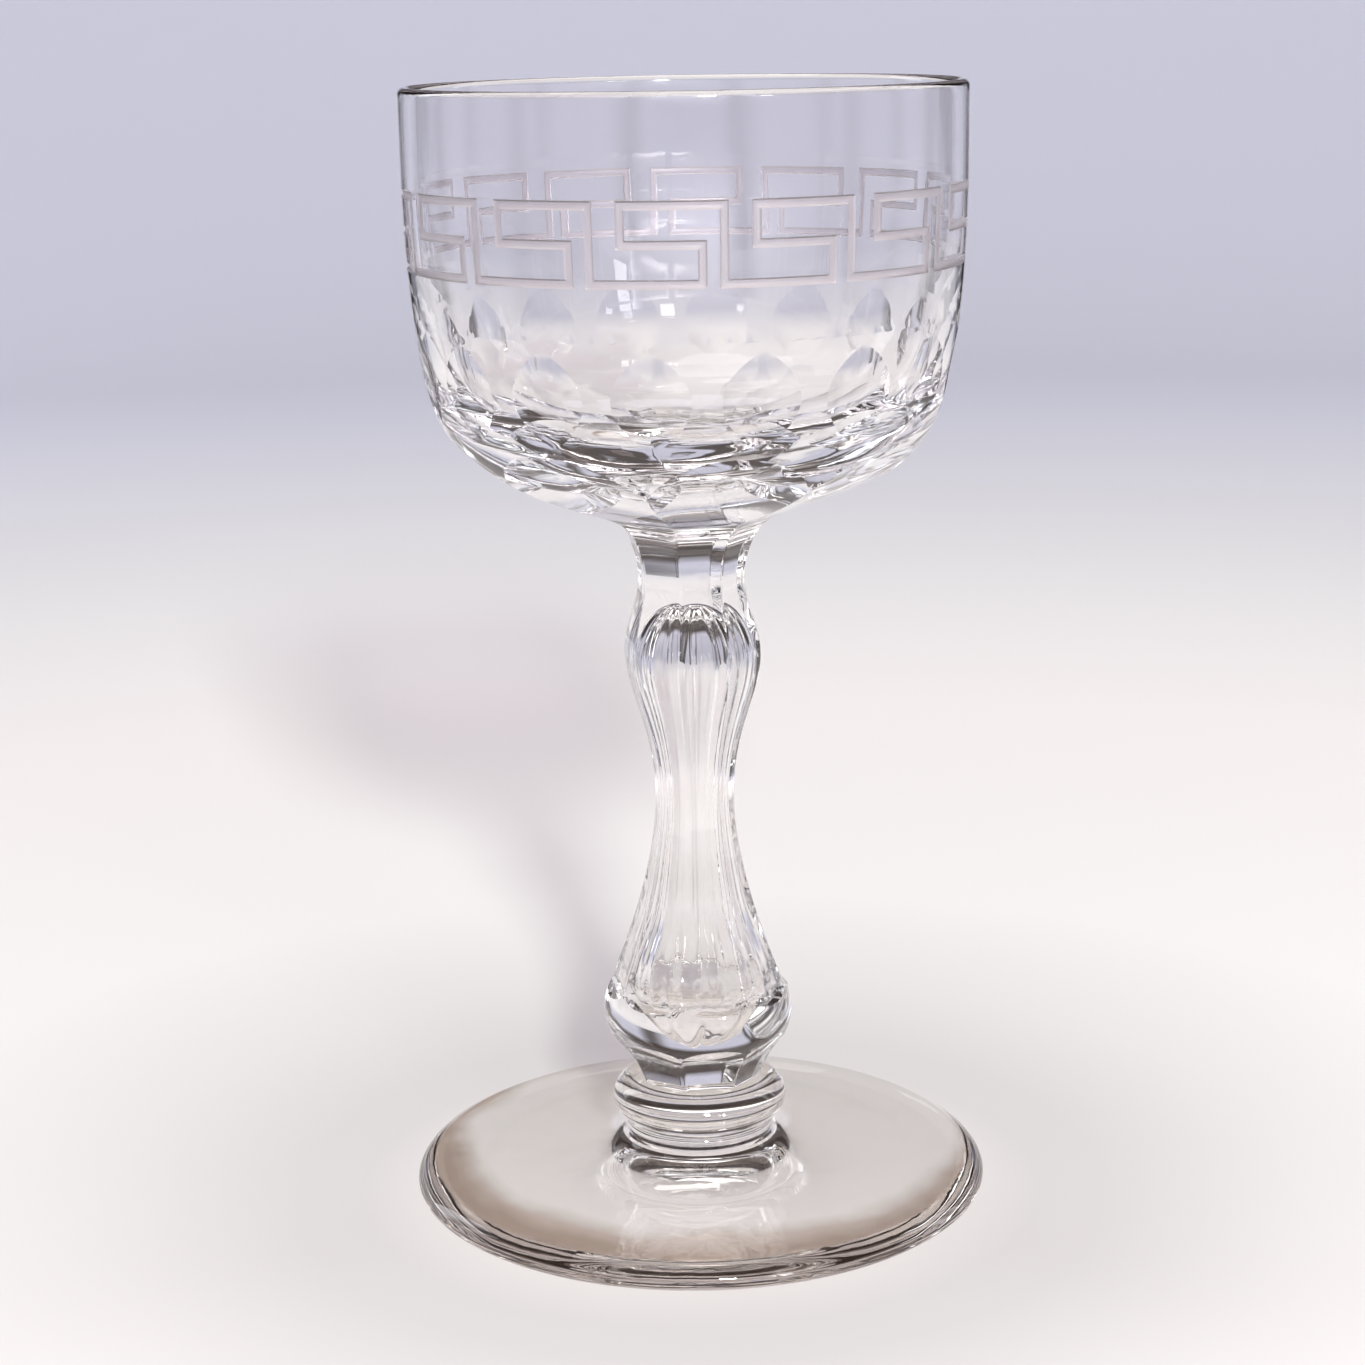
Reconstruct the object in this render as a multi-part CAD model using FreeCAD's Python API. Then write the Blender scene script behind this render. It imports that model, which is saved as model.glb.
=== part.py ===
import FreeCAD, Part
import math
import os

# A footed wine glass of cut and engraved clear glass. Four gathers of glass, each shaped on its
# own and fused hot to the next: foot, collar, hollow stem and bowl.
# Millimetres, +Z up. The origin is the centre of the ring that the foot rests on.

# ---- foot: a low domed disc with a raised boss
FOOT_DIAMETER = 65.3
FOOT_RIM_HEIGHT = 1.9             # height of the widest point
FOOT_RIM_TOP = 3.7                # where the rounded rim meets the upper face
FOOT_RIM_INSET = 1.9              # how far inside the widest point that is
RESTING_DIAMETER = 57.6           # outer edge of the flat ring that touches the table
RESTING_WIDTH = 2.4
RIM_SLOPE = 0.25                  # rise per run where the rim meets the upper face
FOOT_HOLLOW = 0.8                 # rise of the underside at its centre
BOSS_DIAMETER = 16.8
BOSS_HEIGHT = 8.3                 # above the resting plane
BOSS_EDGE = 0.7                   # rounding of the boss's upper edge
BOSS_FLARE = 5.1                  # how far the boss runs out over the upper face
BOSS_RISE = 3.3                   # height of the boss above the upper face

# ---- collar: a rounded disc, heights measured from its own foot
COLLAR_DIAMETER = 19.9
COLLAR_HEIGHT = 5.0
COLLAR_WIDEST = 2.5               # height of the widest point
COLLAR_SHOULDER = 0.6             # how far the side is drawn in above and below the widest point
COLLAR_LOWER_TURN = 0.36          # where, as a share of the height below the widest point
COLLAR_UPPER_TURN = 0.42          # and as a share of the height above it, from the top
COLLAR_FACE_DIAMETER = 15.4       # flat face at each end

# ---- stem: an eight-sided hollow baluster, heights measured from its own foot
SIDES = 8
RIDGE_ANGLE = -12.0               # one ridge, in degrees from -Y towards +X
STEM_LENGTH = 58.7
STEM_FOOT_FLATS = 13.1            # sizes across flats, from the foot up
WAIST_FLATS = 8.4
WAIST_HEIGHT = 32.3
SHOULDER_FLATS = 14.4
SHOULDER_HEIGHT = 49.7
NECK_FLATS = 11.3
NECK_HEIGHT = 57.6
BELT_DIAMETER = 21.5              # the round uncut belt of the knop, at its widest
BELT_HEIGHT = 8.0
BELT_EDGE_DIAMETER = 20.0         # where the ridges run out on the belt
BELT_WIDTH = 5.8
BELT_CUT_DIAMETER = 18.8          # size across flats where both cuts turn out to the belt
CUT_EXIT = 1.2                    # height in which they turn out
CUT_CLEAR = 0.2                   # how far outside the belt each cut is carried
CUT_SLOPE = 0.6                   # rise per run where they leave the belt
KNOP_LEAN = 0.42                  # run per rise of the knop's underside at the stem's foot
LOWER_TAPER = 1.62                # how the long sides swell below the waist: 1 is a straight taper
UPPER_TAPER = 1.3                 # and above it
TAPER_STEPS = 20                  # points that each long side is drawn through

# ---- the sealed air space inside the stem, heights measured from the stem's foot
AIR_BOTTOM = 5.2
AIR_TOP = 55.0
AIR_KNOP_DIAMETER = 13.2
AIR_KNOP_HEIGHT = 10.5
AIR_WAIST_DIAMETER = 5.4
AIR_SHOULDER_DIAMETER = 10.4
AIR_BELOW = (0.35, 0.7)           # shares of the way from the knop to the waist, and from the
AIR_ABOVE = (0.4, 0.7)            # waist to the shoulder, where it follows the long sides' taper

# ---- bowl, heights measured from its own foot
BOWL_HEIGHT = 53.0
RIM_DIAMETER = 60.8
RIM_WALL = 1.4                    # fire polished to a full round at the lip
BELLY_DIAMETER = 58.9
BELLY_HEIGHT = 27.7
BELLY_WALL = 2.0
HEEL_DIAMETER = 46.8              # where the blank's side ends, at the foot of the ridges
HEEL_HEIGHT = 12.5
HEEL_FALL = 0.85                  # fall per run of the side there
FLARE_FLATS = 22.0                # size across flats where the neck has opened out
FLARE_HEIGHT = 7.3
WELL_DIAMETER = 34.0              # where the inside turns into its flat bottom
WELL_HEIGHT = 15.6
WELL_DEPTH = 0.9                  # fall of the bottom from there to the centre

# Points that the bowl's curves pass through, each as shares of the way out and up between two of
# the places above.
SIDE_UPPER = (0.75, 0.36)         # outside, from the belly to the lip
SIDE_LOWER = (0.8, 0.536)         # outside, from the heel to the belly
SIDE_TURN = (0.5, 0.23)           # and where it turns in to the heel
INSIDE_TURN = (0.72, 0.33)        # inside, from the well to the belly
INSIDE_UPPER = (0.8, 0.36)        # inside, from the belly to the lip
NECK_THROAT = (0.08, 0.33)        # underside, from the neck to the flare
NECK_OPENING = (0.36, 0.74)
UNDERSIDE_MIDDLE = (0.51, 0.49)   # underside, from the flare to the heel
UNDERSIDE_TURN = (0.85, 0.95)     # and where it turns up beside the heel
HEEL_RUN_OUT = (3.9, 4.5)         # how far out and up the underside cut is carried past the heel
HEEL_SLOPE = 0.95                 # rise per run where it leaves the glass

# ---- slices cut round the belly, heights measured from the bowl's foot
SLICE_COUNT = 16
SLICE_ANGLE = -7.7                # centre of one slice, in degrees from -Y towards +X
SLICE_BOTTOM = 17.4
SLICE_TOP = 27.4
SLICE_DEPTH = 0.34
SLICE_STEPS = 6                   # equal parts of the height, to follow the curve of the belly
SLICE_RUN_OUT = 0.06              # share of the height by which the wheel passes each end

# ---- engraved key band, heights measured from the bowl's foot to the strokes' centre lines
KEY_UNITS = 14
KEY_ANGLE = 7.0                   # one full-height stroke, in degrees from -Y towards +X
KEY_BOTTOM = 34.4
KEY_TOP = 42.1
KEY_STROKE = 0.95                 # width of a stroke
KEY_DEPTH = 0.15
KEY_HOOK = 0.84                   # where the lower arm ends, as a share of one unit
KEY_CURL = 0.24                   # where the middle arm ends

# ---- places that follow from the sizes above
COLLAR_BASE = BOSS_HEIGHT
STEM_BASE = COLLAR_BASE + COLLAR_HEIGHT
BOWL_BASE = STEM_BASE + STEM_LENGTH
RIM_TOP = BOWL_BASE + BOWL_HEIGHT
FLAT_ANGLE = RIDGE_ANGLE + 180.0 / SIDES
FRONT = -90.0                     # angle of -Y, measured from +X
CUTTER_MARGIN = 5.0               # how far outside the glass every cutter ends
CUTTER_REACH = RIM_DIAMETER / 2 + CUTTER_MARGIN
ORIGIN = FreeCAD.Vector(0, 0, 0)
UP = FreeCAD.Vector(0, 0, 1)
OUT = FreeCAD.Vector(1, 0, 0)


def at(radius, height):
    """A point of a section, drawn in the half-plane y = 0."""
    return FreeCAD.Vector(radius, 0, height)


def between(start, end, shares):
    """The point at two shares, out and up, of the way from start to end."""
    return at(start.x + shares[0] * (end.x - start.x), start.z + shares[1] * (end.z - start.z))


def line(start, end):
    return Part.LineSegment(start, end).toShape()


def arc(start, middle, end):
    return Part.Arc(start, middle, end).toShape()


def smooth(points, start_direction, end_direction):
    """One smooth curve through the points, with the given directions at its ends."""
    first = FreeCAD.Vector(start_direction).normalize()
    last = FreeCAD.Vector(end_direction).normalize()
    curve = Part.BSplineCurve()
    curve.interpolate(Points=points, InitialTangent=first, FinalTangent=last, Scale=False)
    return curve.toShape()


def outline(corners):
    """Straight edges from each corner to the next."""
    return [line(start, end) for start, end in zip(corners, corners[1:])]


def turned(edges):
    """The solid that a closed section makes when it is turned about the axis."""
    return Part.Face(Part.Wire(edges)).revolve(ORIGIN, UP, 360)


def ground_flat(edges, half_width):
    """A cutter that grinds one side flat from edge to edge: the section that it removes, carried
    straight across by half_width each way."""
    face = Part.Face(Part.Wire(edges))
    face.translate(FreeCAD.Vector(0, -half_width, 0))
    return face.extrude(FreeCAD.Vector(0, 2 * half_width, 0))


def spaced_round(shape, count, first_angle):
    """Copies of a shape drawn at y = 0, spaced evenly round the axis."""
    copies = []
    for index in range(count):
        copy = shape.copy()
        copy.rotate(ORIGIN, UP, FRONT + first_angle + index * 360.0 / count)
        copies.append(copy)
    return copies


def eased(share):
    """0 to 1 with a level start and end."""
    return share * share * (3 - 2 * share)


def baluster_flat(height):
    """Half the size across flats at a height above the stem's foot, from the belt to the neck."""
    waist = WAIST_FLATS / 2
    if height < WAIST_HEIGHT:
        share = (WAIST_HEIGHT - height) / (WAIST_HEIGHT - BELT_HEIGHT - BELT_WIDTH / 2)
        return waist + (BELT_CUT_DIAMETER / 2 - waist) * share ** LOWER_TAPER
    if height < SHOULDER_HEIGHT:
        share = (height - WAIST_HEIGHT) / (SHOULDER_HEIGHT - WAIST_HEIGHT)
        return waist + (SHOULDER_FLATS / 2 - waist) * eased(share ** UPPER_TAPER)
    share = (height - SHOULDER_HEIGHT) / (NECK_HEIGHT - SHOULDER_HEIGHT)
    return SHOULDER_FLATS / 2 + (NECK_FLATS - SHOULDER_FLATS) / 2 * eased(share)


def baluster_cutter():
    """Grinds one of the stem's long sides, from the knop's belt up to the bowl."""
    belt_top = BELT_HEIGHT + BELT_WIDTH / 2
    rise = (NECK_HEIGHT - belt_top) / TAPER_STEPS
    heights = [belt_top + index * rise for index in range(TAPER_STEPS + 1)]
    side = [at(baluster_flat(height), STEM_BASE + height) for height in heights]
    exit_point = at(BELT_DIAMETER / 2 + CUT_CLEAR, STEM_BASE + belt_top - CUT_EXIT)
    neck = at(NECK_FLATS / 2, STEM_BASE + NECK_HEIGHT)
    top = at(NECK_FLATS / 2, BOWL_BASE)
    far_top = at(CUTTER_REACH, BOWL_BASE)
    far_bottom = at(CUTTER_REACH, exit_point.z)
    edges = [smooth([exit_point] + side, at(-1, CUT_SLOPE), UP)]
    edges += outline([neck, top, far_top, far_bottom, exit_point])
    return ground_flat(edges, BELT_DIAMETER / 2)


def knop_cutter():
    """Grinds one side of the knop's underside, from the stem's foot up to the belt."""
    belt_bottom = BELT_HEIGHT - BELT_WIDTH / 2
    foot = at(STEM_FOOT_FLATS / 2, STEM_BASE)
    turn = at(BELT_CUT_DIAMETER / 2, STEM_BASE + belt_bottom)
    exit_point = at(BELT_DIAMETER / 2 + CUT_CLEAR, turn.z + CUT_EXIT)
    far_top = at(CUTTER_REACH, exit_point.z)
    far_bottom = at(CUTTER_REACH, STEM_BASE)
    edges = [smooth([foot, turn, exit_point], at(KNOP_LEAN, 1), at(1, CUT_SLOPE))]
    edges += outline([exit_point, far_top, far_bottom, foot])
    return ground_flat(edges, BELT_DIAMETER / 2)


def air_space():
    """The bubble blown into the stem: round in section and domed at both ends."""
    knop = at(AIR_KNOP_DIAMETER / 2, STEM_BASE + AIR_KNOP_HEIGHT)
    waist = at(AIR_WAIST_DIAMETER / 2, STEM_BASE + WAIST_HEIGHT)
    shoulder = at(AIR_SHOULDER_DIAMETER / 2, STEM_BASE + SHOULDER_HEIGHT)
    bottom = at(0, STEM_BASE + AIR_BOTTOM)
    top = at(0, STEM_BASE + AIR_TOP)
    side = [bottom, knop]
    for share in AIR_BELOW:
        height = knop.z + share * (waist.z - knop.z)
        side.append(at(waist.x + (knop.x - waist.x) * (1 - share) ** LOWER_TAPER, height))
    side.append(waist)
    for share in AIR_ABOVE:
        height = waist.z + share * (shoulder.z - waist.z)
        side.append(at(waist.x + (shoulder.x - waist.x) * eased(share ** UPPER_TAPER), height))
    side += [shoulder, top]
    return turned([smooth(side, OUT, -OUT), line(top, bottom)])


def make_foot():
    rim = FOOT_DIAMETER / 2
    ring_outer = at(RESTING_DIAMETER / 2, 0)
    ring_inner = at(RESTING_DIAMETER / 2 - RESTING_WIDTH, 0)
    dome = at(0, FOOT_HOLLOW)
    rim_top = at(rim - FOOT_RIM_INSET, FOOT_RIM_TOP)
    boss = BOSS_DIAMETER / 2
    flare_end = at(boss + BOSS_FLARE, BOSS_HEIGHT - BOSS_RISE)
    boss_side = at(boss, BOSS_HEIGHT - BOSS_EDGE)
    corner = BOSS_EDGE * (1 - math.sqrt(0.5))
    boss_corner = at(boss - corner, BOSS_HEIGHT - corner)
    boss_top = at(boss - BOSS_EDGE, BOSS_HEIGHT)
    top = at(0, BOSS_HEIGHT)
    half_way = at(ring_inner.x / 2, FOOT_HOLLOW * 3 / 4)
    slope = at(rim_top.x - flare_end.x, rim_top.z - flare_end.z)
    edges = [
        arc(dome, half_way, ring_inner),
        line(ring_inner, ring_outer),
        smooth([ring_outer, at(rim, FOOT_RIM_HEIGHT), rim_top], OUT, at(-1, RIM_SLOPE)),
        smooth([rim_top, flare_end, boss_side], -slope, UP),
        arc(boss_side, boss_corner, boss_top),
        line(boss_top, top),
        line(top, dome),
    ]
    return turned(edges)


def make_collar():
    face = COLLAR_FACE_DIAMETER / 2
    widest = COLLAR_DIAMETER / 2
    inner = widest - COLLAR_SHOULDER
    base = at(0, COLLAR_BASE)
    top = at(0, STEM_BASE)
    lower_face = at(face, COLLAR_BASE)
    upper_face = at(face, STEM_BASE)
    lower_turn = at(inner, COLLAR_BASE + COLLAR_WIDEST * COLLAR_LOWER_TURN)
    upper_turn = at(inner, STEM_BASE - (COLLAR_HEIGHT - COLLAR_WIDEST) * COLLAR_UPPER_TURN)
    middle = at(widest, COLLAR_BASE + COLLAR_WIDEST)
    edges = [
        line(base, lower_face),
        smooth([lower_face, lower_turn, middle, upper_turn, upper_face], OUT, -OUT),
        line(upper_face, top),
        line(top, base),
    ]
    return turned(edges)


def make_stem():
    """A turned blank with a rounded belt, ground to eight sides above and below the belt."""
    edge = BELT_EDGE_DIAMETER / 2
    belt = STEM_BASE + BELT_HEIGHT
    lower = at(edge, belt - BELT_WIDTH / 2)
    upper = at(edge, belt + BELT_WIDTH / 2)
    edges = outline([at(0, BOWL_BASE), at(0, STEM_BASE), at(edge, STEM_BASE), lower])
    edges.append(arc(lower, at(BELT_DIAMETER / 2, belt), upper))
    edges += outline([upper, at(edge, BOWL_BASE), at(0, BOWL_BASE)])
    cutters = spaced_round(baluster_cutter(), SIDES, FLAT_ANGLE)
    cutters += spaced_round(knop_cutter(), SIDES, FLAT_ANGLE)
    return turned(edges).cut(cutters).cut(air_space())


def lip_outside():
    return at(RIM_DIAMETER / 2, RIM_TOP - RIM_WALL / 2)


def lip_inside():
    return at(RIM_DIAMETER / 2 - RIM_WALL, RIM_TOP - RIM_WALL / 2)


def heel_point():
    return at(HEEL_DIAMETER / 2, BOWL_BASE + HEEL_HEIGHT)


def well_centre():
    return at(0, BOWL_BASE + WELL_HEIGHT - WELL_DEPTH)


def bowl_side():
    """The outside of the blank, from the lip down to the heel."""
    lip = lip_outside()
    belly = at(BELLY_DIAMETER / 2, BOWL_BASE + BELLY_HEIGHT)
    heel = heel_point()
    upper = between(belly, lip, SIDE_UPPER)
    lower = between(heel, belly, SIDE_LOWER)
    turn = between(heel, belly, SIDE_TURN)
    return smooth([lip, upper, belly, lower, turn, heel], -UP, at(-1, -HEEL_FALL))


def bowl_inside():
    """The inside, from the flat bottom of the well up to the lip."""
    well = at(WELL_DIAMETER / 2, BOWL_BASE + WELL_HEIGHT)
    belly = at(BELLY_DIAMETER / 2 - BELLY_WALL, BOWL_BASE + BELLY_HEIGHT)
    lip = lip_inside()
    turn = between(well, belly, INSIDE_TURN)
    upper = between(belly, lip, INSIDE_UPPER)
    return smooth([well_centre(), well, turn, belly, upper, lip], OUT, UP)


def underside_cutter():
    """Grinds one of the eight sides of the bowl's underside, running down into the neck."""
    neck = at(NECK_FLATS / 2, BOWL_BASE)
    flare = at(FLARE_FLATS / 2, BOWL_BASE + FLARE_HEIGHT)
    heel = heel_point()
    throat = between(neck, flare, NECK_THROAT)
    opening = between(neck, flare, NECK_OPENING)
    middle = between(flare, heel, UNDERSIDE_MIDDLE)
    turn = between(flare, heel, UNDERSIDE_TURN)
    exit_point = heel + at(*HEEL_RUN_OUT)
    far_top = at(CUTTER_REACH, exit_point.z)
    far_bottom = at(CUTTER_REACH, BOWL_BASE)
    points = [neck, throat, opening, flare, middle, turn, exit_point]
    edges = [smooth(points, UP, at(1, HEEL_SLOPE))]
    edges += outline([exit_point, far_top, far_bottom, neck])
    return ground_flat(edges, HEEL_DIAMETER / 4)


def slice_cutter(side):
    """Grinds one slice of the belly: flat across, and following the belly from end to end with
    its greatest depth half way. The cutter runs clear of the glass past both ends."""
    points = []
    for step in range(SLICE_STEPS + 1):
        share = -SLICE_RUN_OUT + (1 + 2 * SLICE_RUN_OUT) * step / SLICE_STEPS
        level = BOWL_BASE + SLICE_BOTTOM + share * (SLICE_TOP - SLICE_BOTTOM)
        depth = SLICE_DEPTH * 4 * share * (1 - share)
        points.append(at(radius_at(side, level) - depth, level))
    far_top = at(CUTTER_REACH, points[-1].z)
    far_bottom = at(CUTTER_REACH, points[0].z)
    edges = [smooth(points, points[1] - points[0], points[-1] - points[-2])]
    edges += outline([points[-1], far_top, far_bottom, points[0]])
    return ground_flat(edges, math.pi * BELLY_DIAMETER / SLICE_COUNT / 2)


def radius_at(side, level):
    """The radius of a turned outline at one height."""
    crossing = side.distToShape(line(at(0, level), at(CUTTER_REACH, level)))
    return crossing[1][0][0].x


def key_ring(side, level, start_share, end_share):
    """Cutter for one level stroke, between two shares of a key unit."""
    half = KEY_STROKE / 2
    inner = radius_at(side, level) - KEY_DEPTH
    pitch = 360.0 / KEY_UNITS
    stroke_share = half / (math.pi * RIM_DIAMETER / KEY_UNITS)
    corners = [at(inner, level - half), at(CUTTER_REACH, level - half),
               at(CUTTER_REACH, level + half), at(inner, level + half), at(inner, level - half)]
    face = Part.Face(Part.Wire(outline(corners)))
    face.rotate(ORIGIN, UP, (start_share - stroke_share) * pitch)
    return face.revolve(ORIGIN, UP, (end_share - start_share + 2 * stroke_share) * pitch)


def key_bar(side, low, high, share):
    """Cutter for one upright stroke, at a share of a key unit."""
    half = KEY_STROKE / 2
    inner = min(radius_at(side, low), radius_at(side, high)) - KEY_DEPTH
    bar = Part.makeBox(CUTTER_REACH - inner, KEY_STROKE, high - low + KEY_STROKE,
                       FreeCAD.Vector(inner, -half, low - half))
    bar.rotate(ORIGIN, UP, share * 360.0 / KEY_UNITS)
    return bar


def key_cutters(side):
    """One running line, turned back on itself once in each unit of the band."""
    low = BOWL_BASE + KEY_BOTTOM
    high = BOWL_BASE + KEY_TOP
    middle = (low + high) / 2
    strokes = [
        key_bar(side, low, high, 0.0),
        key_ring(side, low, 0.0, KEY_HOOK),
        key_bar(side, low, middle, KEY_HOOK),
        key_ring(side, middle, KEY_CURL, KEY_HOOK),
        key_bar(side, middle, high, KEY_CURL),
        key_ring(side, high, KEY_CURL, 1.0),
    ]
    unit = strokes[0].fuse(strokes[1:])
    return spaced_round(unit, KEY_UNITS, KEY_ANGLE)


def make_bowl():
    """A blown bowl with a solid ground base, sixteen slices and an engraved band."""
    side = bowl_side()
    heel = heel_point()
    lip_top = at((RIM_DIAMETER - RIM_WALL) / 2, RIM_TOP)
    edges = [side]
    edges += outline([heel, at(heel.x, BOWL_BASE), at(0, BOWL_BASE), well_centre()])
    edges += [bowl_inside(), arc(lip_inside(), lip_top, lip_outside())]
    blank = turned(edges)
    cutters = spaced_round(underside_cutter(), SIDES, FLAT_ANGLE)
    cutters += spaced_round(slice_cutter(side), SLICE_COUNT, SLICE_ANGLE)
    return blank.cut(cutters).cut(key_cutters(side))


os.makedirs("parts", exist_ok=True)
nodes = {
    "foot": make_foot(),
    "collar": make_collar(),
    "stem": make_stem(),
    "bowl": make_bowl(),
}
for name, shape in nodes.items():
    shape.exportStep("parts/" + name + ".step")
    print(name, "valid", shape.isValid(), "solids", len(shape.Solids), "volume", round(shape.Volume, 1))
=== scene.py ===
import math

import bpy
import numpy as np
from mathutils import Matrix, Vector


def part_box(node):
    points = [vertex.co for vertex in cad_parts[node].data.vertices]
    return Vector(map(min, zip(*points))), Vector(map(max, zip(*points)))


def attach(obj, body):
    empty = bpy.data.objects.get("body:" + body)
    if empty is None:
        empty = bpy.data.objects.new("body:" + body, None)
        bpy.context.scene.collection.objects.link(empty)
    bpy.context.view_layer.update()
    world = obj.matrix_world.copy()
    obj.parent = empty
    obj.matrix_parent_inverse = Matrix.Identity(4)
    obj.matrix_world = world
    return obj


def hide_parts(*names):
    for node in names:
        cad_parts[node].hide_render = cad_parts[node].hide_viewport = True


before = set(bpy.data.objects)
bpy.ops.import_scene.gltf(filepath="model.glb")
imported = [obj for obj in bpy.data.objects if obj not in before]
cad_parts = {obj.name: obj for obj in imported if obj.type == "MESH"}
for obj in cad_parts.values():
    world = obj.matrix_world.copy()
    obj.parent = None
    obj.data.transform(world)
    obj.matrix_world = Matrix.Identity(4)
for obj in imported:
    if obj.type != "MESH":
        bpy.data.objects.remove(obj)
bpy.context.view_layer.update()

# A wine glass of cut and engraved clear glass, made of four gathers fused to one another: foot,
# collar, stem and bowl. Shapes are worked out in millimetres and written to the meshes in metres.
MM = 0.001
FULL_TURN = 360.0
FRONT = -90.0                  # angle of -Y, measured from +X
SIDES = 8                      # ground sides of the stem and of the bowl's underside
RIDGE_ANGLE = -12.0            # one ridge, in degrees from -Y towards +X
SLICE_COUNT = 16
SLICE_ANGLE = -7.7             # centre of one slice
KEY_UNITS = 14
KEY_ANGLE = 7.0                # one full-height stroke
CREASE = math.radians(8.0)     # edges that turn more than this are crisp
GLASS_INDEX = 1.52             # refraction of soda-lime glass


# ------------------------------------------------------------------ places from the frame

def extent(node):
    """Radius, foot and top of a CAD node, in millimetres."""
    low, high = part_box(node)
    return max(high.x, high.y) / MM, low.z / MM, high.z / MM


FOOT_RADIUS, _, BOSS_TOP = extent("foot")
COLLAR_RADIUS, COLLAR_BASE, COLLAR_TOP = extent("collar")
BELT_RADIUS, STEM_BASE, STEM_TOP = extent("stem")
RIM_RADIUS, BOWL_BASE, RIM_TOP = extent("bowl")


# ------------------------------------------------------------------ curves

def curve_through(points, start=None, end=None, steps=400):
    """A smooth cubic through points (radius, height), as an array of steps + 1 points. start and
    end are directions; without them the curve runs out straight."""
    points = np.array(points, float)
    chords = np.linalg.norm(np.diff(points, axis=0), axis=1)
    knots = np.concatenate([[0.0], np.cumsum(chords)])
    count = len(points)
    system = np.zeros((count, count))
    target = np.zeros((count, 2))
    for i in range(1, count - 1):
        before, after = chords[i - 1], chords[i]
        system[i, i - 1], system[i, i], system[i, i + 1] = after, 2 * (before + after), before
        target[i] = 3 * (after * (points[i] - points[i - 1]) / before
                         + before * (points[i + 1] - points[i]) / after)
    for row, near, direction in ((0, 1, start), (count - 1, count - 2, end)):
        system[row, row] = 1.0
        if direction is None:
            system[row, near] = 0.5
            inner, outer = min(row, near), max(row, near)
            target[row] = 1.5 * (points[outer] - points[inner]) / chords[inner]
        else:
            target[row] = np.array(direction, float) / np.linalg.norm(direction)
    slopes = np.linalg.solve(system, target)
    places = np.linspace(0.0, knots[-1], steps + 1)
    span = np.clip(np.searchsorted(knots, places, side="right") - 1, 0, count - 2)
    width = chords[span][:, None]
    t = ((places - knots[span]) / chords[span])[:, None]
    return ((2 * t**3 - 3 * t**2 + 1) * points[span] + (t**3 - 2 * t**2 + t) * width * slopes[span]
            + (3 * t**2 - 2 * t**3) * points[span + 1] + (t**3 - t**2) * width * slopes[span + 1])


def between(start, end, shares):
    """The point at two shares, out and up, of the way from start to end."""
    return (start[0] + shares[0] * (end[0] - start[0]), start[1] + shares[1] * (end[1] - start[1]))


def lengths_along(curve):
    """How far along a curve each of its points is."""
    return np.concatenate([[0.0], np.cumsum(np.linalg.norm(np.diff(curve, axis=0), axis=1))])


def arc_between(start, end, centre, steps):
    """Points on a round of an ellipse from start to end, a quarter turn about centre."""
    start, end, centre = (np.array(p, float) for p in (start, end, centre))
    turn = np.linspace(0.0, math.pi / 2, steps + 1)[:, None]
    return centre + (start - centre) * np.cos(turn) + (end - centre) * np.sin(turn)


def along(curve, steps):
    """steps + 1 points spaced evenly by length along a curve."""
    lengths = lengths_along(curve)
    places = np.linspace(0.0, lengths[-1], steps + 1)
    return np.stack([np.interp(places, lengths, curve[:, k]) for k in (0, 1)], axis=1)


def chain(*curves):
    """Curves end to end, with each shared point once."""
    joined = [curves[0]]
    for curve in curves[1:]:
        joined.append(curve[1:])
    return np.concatenate(joined)


def eased(share):
    """0 to 1 with a level start and end."""
    return share * share * (3 - 2 * share)


# ------------------------------------------------------------------ meshes made of rings

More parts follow.
